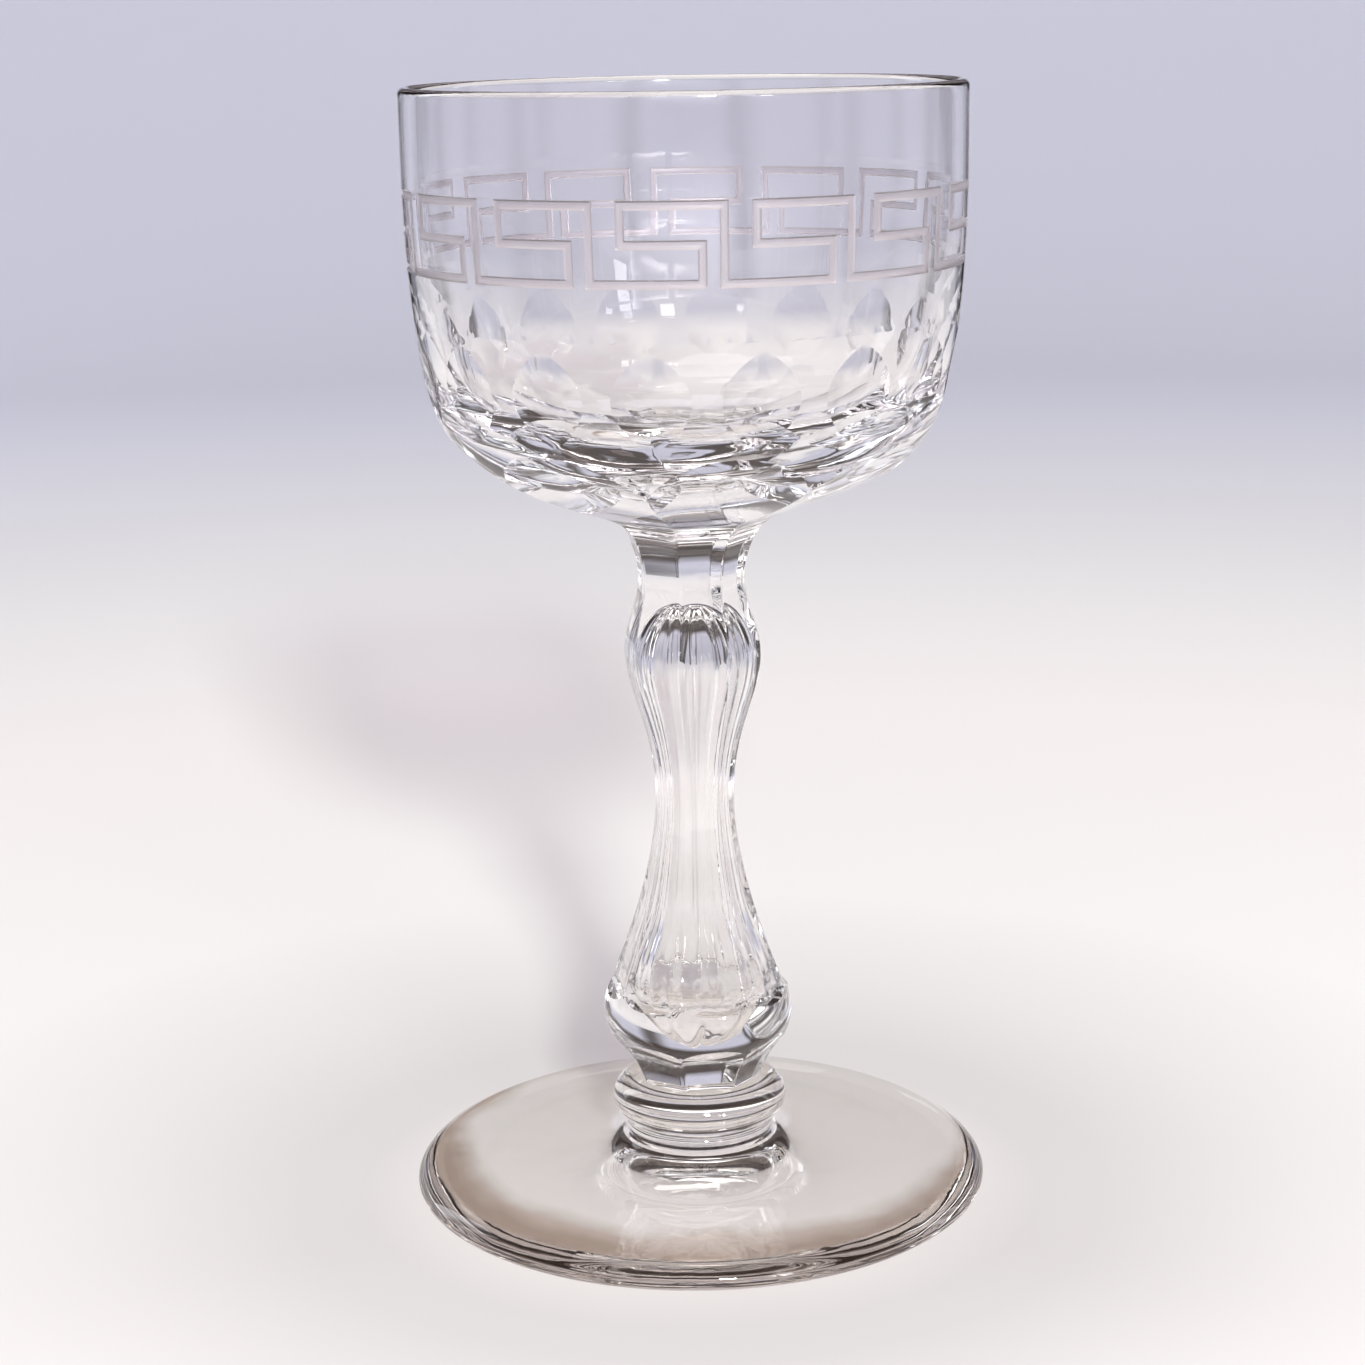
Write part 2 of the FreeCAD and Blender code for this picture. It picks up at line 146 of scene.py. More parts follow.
class Turning:
    """A closed mesh built as rings round the axis. Rings are joined in the order in which the
    section runs, with the glass on its left."""

    def __init__(self):
        self.points = []
        self.faces = []
        self.slots = []

    def add(self, radii, heights, angles):
        """A ring of points; angles in degrees from -Y, rising."""
        angles = np.asarray(angles, float)
        turn = np.radians(FRONT + angles)
        radii = np.broadcast_to(radii, angles.shape)
        heights = np.broadcast_to(heights, angles.shape)
        first = len(self.points)
        self.points.extend(np.stack([radii * np.cos(turn), radii * np.sin(turn), heights], axis=1))
        return np.arange(first, first + len(angles)), angles

    def face(self, corners, slot=0):
        self.faces.append([int(c) for c in corners])
        self.slots.append(slot)

    def join(self, a, b, slots=0):
        """Quads between two rings with the same number of points. slots is one material slot, or
        one for each quad."""
        count = len(a[0])
        slots = np.broadcast_to(slots, (count,))
        for i in range(count):
            j = (i + 1) % count
            self.face((a[0][i], b[0][i], b[0][j], a[0][j]), slots[i])

    def zip(self, a, b, slot=0):
        """Triangles between two rings with different numbers of points."""
        rings = []
        for indices, angles in (a, b):
            wrapped = np.mod(angles, FULL_TURN)
            order = np.argsort(wrapped)
            rings.append((indices[order], wrapped[order]))
        (ia, ta), (ib, tb) = rings
        i = j = 0
        while i < len(ia) or j < len(ib):
            next_a = ta[(i + 1) % len(ia)] + FULL_TURN * ((i + 1) // len(ia))
            next_b = tb[(j + 1) % len(ib)] + FULL_TURN * ((j + 1) // len(ib))
            here_a, here_b = ia[i % len(ia)], ib[j % len(ib)]
            if j >= len(ib) or (i < len(ia) and next_a < next_b):
                self.face((here_a, here_b, ia[(i + 1) % len(ia)]), slot)
                i += 1
            else:
                self.face((here_a, here_b, ib[(j + 1) % len(ib)]), slot)
                j += 1

    def fan_from(self, height, ring, slot=0):
        """Closes a ring from a centre that comes before it in the section."""
        self.points.append(np.array([0.0, 0.0, height]))
        centre = len(self.points) - 1
        count = len(ring[0])
        for i in range(count):
            self.face((centre, ring[0][i], ring[0][(i + 1) % count]), slot)

    def fan_to(self, height, ring, slot=0):
        """Closes a ring to a centre that comes after it in the section."""
        self.points.append(np.array([0.0, 0.0, height]))
        centre = len(self.points) - 1
        count = len(ring[0])
        for i in range(count):
            self.face((ring[0][i], centre, ring[0][(i + 1) % count]), slot)

    def sweep(self, section, angles, ring=None, slot=0):
        """Rings along a section of (radius, height) points. Returns the last ring."""
        for radius, height in section:
            following = self.add(radius, height, angles)
            if ring is not None:
                self.join(ring, following, slot)
            ring = following
        return ring

    def build(self, name, materials):
        mesh = bpy.data.meshes.new(name)
        mesh.from_pydata([Vector(p * MM) for p in self.points], [], self.faces)
        for material in materials:
            mesh.materials.append(material)
        mesh.polygons.foreach_set("material_index", self.slots)
        mesh.polygons.foreach_set("use_smooth", [True] * len(self.faces))
        mesh.set_sharp_from_angle(angle=CREASE)
        mesh.update()
        piece = bpy.data.objects.new(name, mesh)
        bpy.context.scene.collection.objects.link(piece)
        return piece


def even_angles(count, first=0.0):
    return first + np.arange(count) * FULL_TURN / count


# ------------------------------------------------------------------ eight ground sides

RIDGE_ROUND = 0.55             # polishing leaves each ridge this round
# Degrees from a ridge to each column on one side of it, up to the middle of the ground side.
FROM_RIDGE = (0.0, 0.35, 0.7, 1.1, 1.5, 2.0, 2.6, 3.4, 4.6, 6.5, 9.0, 12.0, 15.5, 19.0, 22.5)


def ground_columns():
    """Angles of the columns that carry ground sides, close together at the ridges, and each
    column's turn from the nearest ridge in radians."""
    share = FULL_TURN / SIDES
    offsets = list(FROM_RIDGE) + [share - f for f in FROM_RIDGE[-2:0:-1]]
    angles, turns = [], []
    for side in range(SIDES):
        angles += [RIDGE_ANGLE + side * share + offset for offset in offsets]
        turns += [math.radians(min(offset, share - offset)) for offset in offsets]
    return np.array(angles), np.array(turns)


def ground_radius(flat, turn):
    """Radius of an eight-sided section with rounded ridges: flat is half its size across flats."""
    half = math.pi / SIDES
    centre = (flat - RIDGE_ROUND) / math.cos(half)
    limit = np.arctan2(RIDGE_ROUND * math.sin(half), centre + RIDGE_ROUND * math.cos(half))
    squared = RIDGE_ROUND**2 - (centre * np.sin(turn)) ** 2
    rounded = centre * np.cos(turn) + np.sqrt(np.clip(squared, 0, None))
    return np.where(turn < limit, rounded, flat / np.cos(half - turn))


def grind(turning, ring, flat, starts, ends, rows):
    """Rings down the eight ground sides, along the line down the middle of one of them. starts and
    ends say how far along that line each column begins and stops."""
    angles, turns = ground_columns()
    lengths = lengths_along(flat)
    for row in range(1, rows + 1):
        place = starts + (ends - starts) * row / rows
        radius = ground_radius(np.interp(place, lengths, flat[:, 0]), turns)
        following = turning.add(radius, np.interp(place, lengths, flat[:, 1]), angles)
        turning.join(ring, following)
        ring = following
    return ring


# ------------------------------------------------------------------ materials

STRIA_STRETCH = 0.35           # drawn glass: its striae run up and down
STRIA_SHADE = 0.985            # their colour, against the glass between them
HAZE = {"From Min": 0.55, "From Max": 0.8, "To Min": 0.0, "To Max": 0.03}   # noise to roughness
EDGE_BLEND = 0.35              # how fast the glass turns to its edge-on shade
MATT = (0.34, 0.56)            # roughness of the engraving
MATT_SHADE = 0.88              # its darker patches


def node_tree(name):
    """A material and its node tree, emptied."""
    material = bpy.data.materials.new(name)
    material.use_nodes = True
    tree = material.node_tree
    tree.nodes.clear()
    return material, tree


def add_node(tree, kind, values=None, links=None, operation=None):
    """A shader node with some inputs set to values and some linked from sockets."""
    node = tree.nodes.new("ShaderNode" + kind)
    if operation:
        node.operation = operation
    for name, value in (values or {}).items():
        node.inputs[name].default_value = value
    for name, socket in (links or {}).items():
        tree.links.new(socket, node.inputs[name])
    return node


def shaded(tree, colour, factor, share):
    """A colour, and the same colour times a factor, mixed by a socket."""
    mix = add_node(tree, "MixRGB", {"Color1": (*colour, 1.0),
                                    "Color2": (*[c * factor for c in colour], 1.0)}, {"Fac": share})
    return mix.outputs["Color"]


def glass(name, tint, passing, edge_on=0.5, rim_shade=None, stria_scale=90.0, wave=0.00002):
    """Clear glass with faint drawn striae, handling haze and a hand-worked surface. Light passes
    straight on to what stands behind, and edge_on of that where the surface is edge on. The fifth
    argument, (centre, radius, width, tint), paints shade into the colour: past that radius from the
    centre, in millimetres, the colour darkens to the tint over the width."""
    material, tree = node_tree(name)
    place = add_node(tree, "TexCoord").outputs["Object"]

    stretch = add_node(tree, "Mapping", {"Scale": (1.0, 1.0, STRIA_STRETCH)}, {"Vector": place})
    striae = add_node(tree, "TexNoise", {"Scale": stria_scale, "Detail": 3.0, "Distortion": 0.8},
                      {"Vector": stretch.outputs["Vector"]}).outputs["Fac"]
    colour = shaded(tree, tint, STRIA_SHADE, striae)
    # Painted shade: past a radius the colour darkens to a brown tint, in patches.
    if rim_shade:
        colour = painted_rim_shade(tree, place, colour, rim_shade)
    bump = add_node(tree, "Bump", {"Strength": 1.0, "Distance": wave}, {"Height": striae})

    haze = add_node(tree, "TexNoise", {"Scale": 260.0, "Detail": 4.0}, {"Vector": place})
    smear = add_node(tree, "MapRange", HAZE, {"Value": haze.outputs["Fac"]})
    shader = add_node(tree, "BsdfPrincipled", {"Transmission Weight": 1.0, "IOR": GLASS_INDEX},
                      {"Base Color": colour, "Roughness": smear.outputs["Result"],
                       "Normal": bump.outputs["Normal"]})

    edge = add_node(tree, "LayerWeight", {"Blend": EDGE_BLEND})
    shade = shaded(tree, passing, edge_on, edge.outputs["Facing"])
    through = add_node(tree, "BsdfTransparent", links={"Color": shade})
    pass_light(tree, shader, through)
    return material


def painted_rim_shade(tree, place, colour, rim_shade):
    """The colour, darkening in patches with distance from a centre: painted shade towards one side
    of the rim, standing in for the dark that the rim's underside reflects."""
    centre, start, width, tint = rim_shade
    level = add_node(tree, "Mapping", {"Scale": (1.0, 1.0, 0.0),
                                       "Location": (-centre[0] * MM, -centre[1] * MM, 0.0)},
                     {"Vector": place})
    radius = add_node(tree, "VectorMath", links={0: level.outputs["Vector"]}, operation="LENGTH")
    patch = add_node(tree, "TexNoise", {"Scale": 95.0, "Detail": 4.0}, {"Vector": place})
    wander = add_node(tree, "Math", {1: 2 * width * MM},
                      {0: patch.outputs["Fac"], 2: radius.outputs["Value"]}, "MULTIPLY_ADD")
    share = add_node(tree, "MapRange", {"From Min": (start + width) * MM,
                                        "From Max": (start + 2 * width) * MM},
                     {"Value": wander.outputs["Value"]})
    mix = add_node(tree, "MixRGB", {"Color2": (*tint, 1.0)},
                   {"Fac": share.outputs["Result"], "Color1": colour})
    return mix.outputs["Color"]


def mixed(tree, share, first, second):
    """Two shaders mixed by a socket."""
    return add_node(tree, "MixShader", links={"Fac": share, 1: first, 2: second}).outputs["Shader"]


def pass_light(tree, shader, through):
    """Lamps, and light that paper scatters, go straight through."""
    rays = add_node(tree, "LightPath")
    clear = through.outputs["BSDF"]
    scattered = mixed(tree, rays.outputs["Is Diffuse Ray"], shader.outputs["BSDF"], clear)
    direct = mixed(tree, rays.outputs["Is Shadow Ray"], scattered, clear)
    add_node(tree, "OutputMaterial", links={"Surface": direct})


def engraved(name, tint):
    """Copper-wheel engraving left matt: finely pitted glass that scatters what passes."""
    material, tree = node_tree(name)
    place = add_node(tree, "TexCoord").outputs["Object"]
    patch = add_node(tree, "TexNoise", {"Scale": 300.0}, {"Vector": place}).outputs["Fac"]
    colour = shaded(tree, tint, MATT_SHADE, patch)
    rough = add_node(tree, "MapRange", {"To Min": MATT[0], "To Max": MATT[1]}, {"Value": patch})
    grit = add_node(tree, "TexNoise", {"Scale": 2600.0, "Detail": 2.0}, {"Vector": place})
    bump = add_node(tree, "Bump", {"Strength": 0.6, "Distance": 0.00003},
                    {"Height": grit.outputs["Fac"]})
    shader = add_node(tree, "BsdfPrincipled", {"Transmission Weight": 0.86, "IOR": GLASS_INDEX},
                      {"Base Color": colour, "Roughness": rough.outputs["Result"],
                       "Normal": bump.outputs["Normal"]})
    through = add_node(tree, "BsdfTransparent", {"Color": (0.72, 0.70, 0.72, 1.0)})
    pass_light(tree, shader, through)
    return material


def fused(name):
    """The face where two gathers have run together: nothing shows there."""
    material, tree = node_tree(name)
    clear = add_node(tree, "BsdfTransparent")
    add_node(tree, "OutputMaterial", links={"Surface": clear.outputs["BSDF"]})
    return material


# ------------------------------------------------------------------ bowl

BELLY = (29.45, BOWL_BASE + 27.7)          # outside, where the side starts to turn in
HEEL = (23.4, BOWL_BASE + 12.5)            # outside, where the blank's side ends
HEEL_RUN_OUT = (3.9, 4.5)                  # how far past it the underside's cut is carried
RIM_WALL = 1.4
BELLY_WALL = 2.0
WELL = (17.0, BOWL_BASE + 15.6)            # inside, edge of the flat bottom
WELL_FALL = 0.9
NECK_FLAT = 5.65                           # half the size across flats at the stem's top
FLARE = (11.0, BOWL_BASE + 7.3)
SLICE_LOW, SLICE_HIGH = BOWL_BASE + 17.3, BOWL_BASE + 27.6
SLICE_HALF_WIDTH = 4.25
SLICE_HOLLOW = 38.0                        # radius of the wheel's edge across the slice
ARCH_MARGIN = 0.15                         # the slices' zone ends this far above the flats
KEY_LOW, KEY_HIGH = BOWL_BASE + 34.4, BOWL_BASE + 42.1
KEY_HALF_STROKE = 0.47
KEY_DEPTH = 0.16
KEY_HOOK = 0.84                            # where the lower arm ends, as a share of one unit
KEY_CURL = 0.24                            # where the middle arm ends
KEY_FLANKS = (-1, -0.62, 0, 0.62, 1)       # grid lines across a stroke, in half strokes
KEY_COLUMN, KEY_ROW = 1.1, 1.0             # widest and highest cell of the band's grid
KEY_MARGIN, PLAIN_MARGIN = 1.0, 1.3        # the band's zone, and plain glass, end past its strokes
SLICE_MARGIN, GAP_MARGIN = 0.8, 1.0        # the slices' zone, and plain glass, end above them
SLICE_POINT = 0.9                          # how pointed the slices' ends are
SLICE_LEAST = 0.35                         # half width that the grid keeps at their ends
BOWL_COLUMNS, INSIDE_ROWS, LIP_ROWS = 240, 90, 27
SLICE_ROWS, ARCH_ROWS, FLAT_ROWS = 46, 12, 84

# Points that the curves pass through, as shares of the way out and up between two places.
SIDE_UPPER = (0.75, 0.36)                  # outside, from the belly to the lip
SIDE_LOWER = (0.8, 0.536)                  # outside, from the heel to the belly
SIDE_TURN = (0.5, 0.23)
INSIDE_TURN = (0.72, 0.33)                 # inside, from the well to the belly
INSIDE_UPPER = (0.8, 0.36)                 # inside, from the belly to the lip
NECK_THROAT = (0.08, 0.33)                 # underside, from the neck to the flare
NECK_OPENING = (0.36, 0.74)
UNDERSIDE_MIDDLE = (0.51, 0.49)            # underside, from the flare to the heel
UNDERSIDE_TURN = (0.85, 0.95)
HEEL_FALL = 0.85                           # fall per run of the blank's side at the heel
HEEL_SLOPE = 0.95                          # rise per run of the underside's cut where it leaves


def bowl_side():
    lip = (RIM_RADIUS, RIM_TOP - RIM_WALL / 2)
    upper = between(BELLY, lip, SIDE_UPPER)
    lower = between(HEEL, BELLY, SIDE_LOWER)
    turn = between(HEEL, BELLY, SIDE_TURN)
    return curve_through([lip, upper, BELLY, lower, turn, HEEL], (0, -1), (-1, -HEEL_FALL))


def bowl_inside():
    centre = (0.0, WELL[1] - WELL_FALL)
    belly = (BELLY[0] - BELLY_WALL, BELLY[1])
    lip = (RIM_RADIUS - RIM_WALL, RIM_TOP - RIM_WALL / 2)
    turn = between(WELL, belly, INSIDE_TURN)
    upper = between(belly, lip, INSIDE_UPPER)
    return curve_through([centre, WELL, turn, belly, upper, lip], (1, 0), (0, 1))


def underside_flat():
    """The middle of one ground side, from outside the heel down into the neck."""
    neck = (NECK_FLAT, BOWL_BASE)
    throat = between(neck, FLARE, NECK_THROAT)
    opening = between(neck, FLARE, NECK_OPENING)
    middle = between(FLARE, HEEL, UNDERSIDE_MIDDLE)
    turn = between(FLARE, HEEL, UNDERSIDE_TURN)
    outside = (HEEL[0] + HEEL_RUN_OUT[0], HEEL[1] + HEEL_RUN_OUT[1])
    points = [neck, throat, opening, FLARE, middle, turn, outside]
    return curve_through(points, (0, 1), (1, HEEL_SLOPE))[::-1]


class Side:
    """The bowl's turned outside, by height."""

    def __init__(self):
        curve = bowl_side()[::-1]
        self.heights = curve[:, 1]
        self.radii = curve[:, 0]

    def radius(self, height):
        return np.interp(height, self.heights, self.radii)

    def normal(self, height):
        """The outward direction (radial, vertical) at a height."""
        step = 0.05
        slope = (self.radius(height + step) - self.radius(height - step)) / (2 * step)
        length = np.sqrt(1 + slope * slope)
        return 1 / length, -slope / length


def slice_width(height):
    """Half the width of the slices at a height: pointed at both ends."""
    middle = (SLICE_LOW + SLICE_HIGH) / 2
    share = (height - middle) / (SLICE_HIGH - middle)
    return SLICE_HALF_WIDTH * np.clip(1 - share * share, 0, None) ** SLICE_POINT


def sliced(side, angles, heights):
    """Radius and height of the side once the slices are ground into it."""
    share = FULL_TURN / SLICE_COUNT
    nearest = (angles - SLICE_ANGLE + share / 2) % share - share / 2
    across = np.radians(nearest) * BELLY[0]
    curvature = 1 / BELLY[0] + 1 / SLICE_HOLLOW
    depth = np.clip(curvature * (slice_width(heights) ** 2 - across**2) / 2, 0, None)
    out, up = side.normal(heights)
    return side.radius(heights) - depth * out, heights - depth * up


def key_strokes():
    """The band's line in one unit, as level and upright strokes of (share, share, level, level)."""
    return [(0, 0, 0, 1), (0, KEY_HOOK, 0, 0), (KEY_HOOK, KEY_HOOK, 0, 0.5),
            (KEY_CURL, KEY_HOOK, 0.5, 0.5), (KEY_CURL, KEY_CURL, 0.5, 1), (KEY_CURL, 1, 1, 1)]


def key_distance(arcs, heights):
    """Distance from the engraved line's centre, for positions within a unit in millimetres."""
    pitch = 2 * math.pi * RIM_RADIUS / KEY_UNITS
    best = np.full(np.broadcast(arcs, heights).shape, np.inf)
    for start, end, low, high in key_strokes():
        for shift in (-1, 0, 1):
            x0, x1 = (start + shift) * pitch, (end + shift) * pitch
            z0 = KEY_LOW + low * (KEY_HIGH - KEY_LOW)
            z1 = KEY_LOW + high * (KEY_HIGH - KEY_LOW)
            across = np.maximum(np.maximum(x0 - arcs, arcs - x1), 0)
            beyond = np.maximum(np.maximum(z0 - heights, heights - z1), 0)
            best = np.minimum(best, np.maximum(across, beyond))
    return best


def key_grid_lines(centres, low, high, spacing):
    """Positions from low to high, with a line at each edge and on each flank of a stroke."""
    lines = {round(low, 5), round(high, 5)}
    flanks = [f * KEY_HALF_STROKE for f in KEY_FLANKS]
    for centre in centres:
        lines.update(round(centre + f, 5) for f in flanks if low <= centre + f <= high)
    lines = sorted(lines)
    filled = []
    for start, end in zip(lines, lines[1:]):
        parts = max(1, math.ceil((end - start) / spacing - 0.01))
        filled.extend(start + (end - start) * k / parts for k in range(parts))
    return np.array(filled + [lines[-1]])


def add_key_band(turning, side, ring):
    """The engraved band, from just above its highest stroke to just below its lowest."""
    pitch = 2 * math.pi * RIM_RADIUS / KEY_UNITS
    half = KEY_HALF_STROKE
    uprights = [0, KEY_CURL * pitch, KEY_HOOK * pitch, pitch]
    columns = key_grid_lines(uprights, -half, pitch - half, KEY_COLUMN)[:-1]
    middle = (KEY_LOW + KEY_HIGH) / 2
    rows = key_grid_lines([KEY_LOW, middle, KEY_HIGH], KEY_LOW - KEY_MARGIN,
                          KEY_HIGH + KEY_MARGIN, KEY_ROW)[::-1]
    unit = FULL_TURN / KEY_UNITS
    angles = np.concatenate([KEY_ANGLE + unit * (columns / pitch + k) for k in range(KEY_UNITS)])
    arcs = np.tile(columns, KEY_UNITS)
    next_arcs = np.tile(np.append(columns[1:], pitch - half), KEY_UNITS)
    previous_height = None
    for height in rows:
        depth = KEY_DEPTH * np.sqrt(np.clip(1 - (key_distance(arcs, height) / half) ** 2, 0, 1))
        following = turning.add(side.radius(height) - depth, height, angles)
        if previous_height is None:
            turning.zip(ring, following)
        else:
            centre = key_distance((arcs + next_arcs) / 2, (height + previous_height) / 2)
            turning.join(ring, following, np.where(centre < half, 1, 0))
        ring, previous_height = following, height
    return ring


def slice_columns(height, per_slice=8, per_gap=5):
    """Column angles within one slice's share of the circle, following the slice's edges."""
    share = FULL_TURN / SLICE_COUNT
    radius = BELLY[0]
    half = math.degrees(max(slice_width(height), SLICE_LEAST) / radius)
    inside = np.linspace(-half, half, per_slice + 1)
    gap = np.linspace(half, share - half, per_gap + 1)[1:-1]
    return np.concatenate([inside, gap])


class Underside:
    """Where each column of the eight ground sides leaves the bowl's side."""

    def __init__(self, side):
        self.angles, self.turns = ground_columns()
        self.flat = underside_flat()
        steps = np.linalg.norm(np.diff(self.flat, axis=0), axis=1)
        self.lengths = np.concatenate([[0.0], np.cumsum(steps)])
        radii, heights = self.flat[:, 0], self.flat[:, 1]
        starts = []
        for angle, turn in zip(self.angles, self.turns):
            blank = np.where(heights > HEEL[1], sliced(side, angle, heights)[0], HEEL[0])
            gap = ground_radius(radii, turn) - blank
            inside = np.argmax(gap < 0)
            share = gap[inside - 1] / (gap[inside - 1] - gap[inside])
            starts.append(self.lengths[inside - 1] + share * steps[inside - 1])
        self.starts = np.array(starts)
        self.arch = np.interp(self.starts, self.lengths, heights)

    def edge(self, angles):
        """Height of the line between the slices' zone and the ground sides' zone."""
        arch = np.interp(angles, self.angles, self.arch, period=FULL_TURN)
        return np.maximum(arch + ARCH_MARGIN, SLICE_LOW - ARCH_MARGIN)


def add_slices(turning, side, underside, ring):
    """The belly with its hollow-ground slices, down to just above the ground sides."""
    top = SLICE_HIGH + SLICE_MARGIN
    centres = SLICE_ANGLE + FULL_TURN / SLICE_COUNT * np.arange(SLICE_COUNT)
    for row in range(SLICE_ROWS):
        share = row / (SLICE_ROWS - 1)
        middles = top + (underside.edge(centres) - top) * share
        angles = np.concatenate([c + slice_columns(m) for c, m in zip(centres, middles)])
        heights = top + (underside.edge(angles) - top) * share
        radius, height = sliced(side, angles, heights)
        following = turning.add(radius, height, angles)
        if row == 0:
            turning.zip(ring, following)
        else:
            turning.join(ring, following)
        ring = following
    return ring


def add_underside(turning, side, underside, ring):
    """The eight ground sides, from their arched upper edges down to the neck."""
    angles = underside.angles
    edge = underside.edge(angles)
    for row in range(ARCH_ROWS + 1):
        heights = edge + (underside.arch - edge) * row / ARCH_ROWS
        above = heights > HEEL[1]
        radius, height = sliced(side, angles, heights)
        following = turning.add(np.where(above, radius, HEEL[0]),
                                np.where(above, height, heights), angles)
        if row == 0:
            turning.zip(ring, following)
        else:
            turning.join(ring, following)
        ring = following
    return grind(turning, ring, underside.flat, underside.starts, underside.lengths[-1], FLAT_ROWS)


def make_bowl(materials):
    turning = Turning()
    side = Side()
    around = even_angles(BOWL_COLUMNS, KEY_ANGLE)
    inside = along(bowl_inside(), INSIDE_ROWS)
    ring = turning.add(inside[1][0], inside[1][1], around)
    turning.fan_from(inside[0][1], ring)
    ring = turning.sweep(inside[2:], around, ring)
    lip_middle = (RIM_RADIUS - RIM_WALL + RIM_RADIUS) / 2
    shoulder = RIM_TOP - RIM_WALL / 2
    turn = np.linspace(math.pi, 0, LIP_ROWS)[1:]
    lip = np.stack([lip_middle + RIM_WALL / 2 * np.cos(turn),
                    shoulder + RIM_WALL / 2 * np.sin(turn)], axis=1)
    ring = turning.sweep(lip, around, ring)
    heights = np.linspace(shoulder, KEY_HIGH + PLAIN_MARGIN, 9)[1:]
    ring = turning.sweep([(side.radius(h), h) for h in heights], around, ring)
    ring = add_key_band(turning, side, ring)
    heights = np.linspace(KEY_LOW - KEY_MARGIN, SLICE_HIGH + GAP_MARGIN, 6)[1:]
    for height in heights:
        following = turning.add(side.radius(height), height, ring[1])
        turning.join(ring, following)
        ring = following
    underside = Underside(side)
    ring = add_slices(turning, side, underside, ring)
    ring = add_underside(turning, side, underside, ring)
    turning.fan_to(BOWL_BASE, ring, slot=2)
    return turning.build("bowl_glass", materials)


# ------------------------------------------------------------------ stem

WAIST_HEIGHT, SHOULDER_HEIGHT, NECK_HEIGHT = (STEM_BASE + h for h in (32.3, 49.7, 57.6))
WAIST_FLAT, SHOULDER_FLAT, FOOT_FLAT = 4.2, 7.2, 6.55
BELT_MIDDLE, BELT_HALF = STEM_BASE + 8.0, 2.9
BELT_EDGE = 10.0
BELT_CUT_FLAT = 9.4
CUT_EXIT, CUT_CLEAR, CUT_SLOPE = 1.2, 0.2, 0.6   # how both cuts turn out to the belt
KNOP_LEAN = 0.42                           # run per rise of the knop's underside at its foot
AIR_LOW, AIR_HIGH = STEM_BASE + 5.2, STEM_BASE + 55.0
AIR_KNOP, AIR_WAIST, AIR_SHOULDER = 6.6, 2.7, 5.2
AIR_KNOP_HEIGHT = STEM_BASE + 10.5
AIR_UNEVEN, AIR_UNEVEN_REACH = 0.22, 6.5   # waviness of its floor, and how far up that fades
AIR_RIBS, AIR_RIB_DEPTH = 16, 0.09         # faint upright ribs blown into it
# Waves round the axis, their size, their phase and how far it turns per millimetre of height.
AIR_RIPPLES = ((3, 1.0, 0.7, 0.0), (5, 0.6, 2.1, 0.9), (8, 0.5, 0.4, 0.0))
AIR_BELOW, AIR_ABOVE = (0.35, 0.7), (0.4, 0.7)   # where its side follows the stem's taper
AIR_COLUMNS, AIR_ROWS = 192, 150
LOWER_TAPER, UPPER_TAPER = 1.62, 1.3       # how the stem swells below and above its waist
LONG_ROWS, BELT_ROWS, SHORT_ROWS = 130, 20, 30


def baluster_flat(height):
    """Half the size across flats, from the belt to the neck."""
    if height < WAIST_HEIGHT:
        share = (WAIST_HEIGHT - height) / (WAIST_HEIGHT - BELT_MIDDLE - BELT_HALF)
        return WAIST_FLAT + (BELT_CUT_FLAT - WAIST_FLAT) * share**LOWER_TAPER
    if height < SHOULDER_HEIGHT:
        share = (height - WAIST_HEIGHT) / (SHOULDER_HEIGHT - WAIST_HEIGHT)
        return WAIST_FLAT + (SHOULDER_FLAT - WAIST_FLAT) * eased(share**UPPER_TAPER)
    share = min(1.0, (height - SHOULDER_HEIGHT) / (NECK_HEIGHT - SHOULDER_HEIGHT))
    return SHOULDER_FLAT + (NECK_FLAT - SHOULDER_FLAT) * eased(share)


def upper_flat():
    """The middle of one long ground side, from the stem's top down to where it meets the belt."""
    belt_top = BELT_MIDDLE + BELT_HALF
    heights = np.linspace(belt_top, STEM_TOP, 28)
    side = [(baluster_flat(h), h) for h in heights]
    exit_point = (BELT_RADIUS + CUT_CLEAR, belt_top - CUT_EXIT)
    return curve_through([exit_point] + side, (-1, CUT_SLOPE), (0, 1), steps=1200)[::-1]


def lower_flat():
    """The middle of one short ground side, from where it meets the belt down to the foot."""
    turn = (BELT_CUT_FLAT, BELT_MIDDLE - BELT_HALF)
    exit_point = (BELT_RADIUS + CUT_CLEAR, turn[1] + CUT_EXIT)
    points = [(FOOT_FLAT, STEM_BASE), turn, exit_point]
    return curve_through(points, (KNOP_LEAN, 1), (1, CUT_SLOPE), steps=600)[::-1]


def belt_radius(height):
    """The knop's round belt: an arc between its two edges, and straight beyond them."""
    rise = BELT_RADIUS - BELT_EDGE
    arc_radius = (BELT_HALF**2 + rise**2) / (2 * rise)
    off = np.clip(np.abs(height - BELT_MIDDLE), 0, BELT_HALF)
    return BELT_RADIUS - arc_radius + np.sqrt(arc_radius**2 - off**2)


def crossing(flat, turn):
    """How far along a flat's middle line the side, at one column, meets the belt."""
    lengths = lengths_along(flat)
    gap = ground_radius(flat[:, 0], turn) - belt_radius(flat[:, 1])
    outside = gap > 0
    if outside[-1]:
        index = len(gap) - np.argmax(~outside[::-1])
    else:
        index = len(gap) - np.argmax(outside[::-1])
    index = min(max(index, 1), len(gap) - 1)
    share = gap[index - 1] / (gap[index - 1] - gap[index])
    return lengths, lengths[index - 1] + share * (lengths[index] - lengths[index - 1])


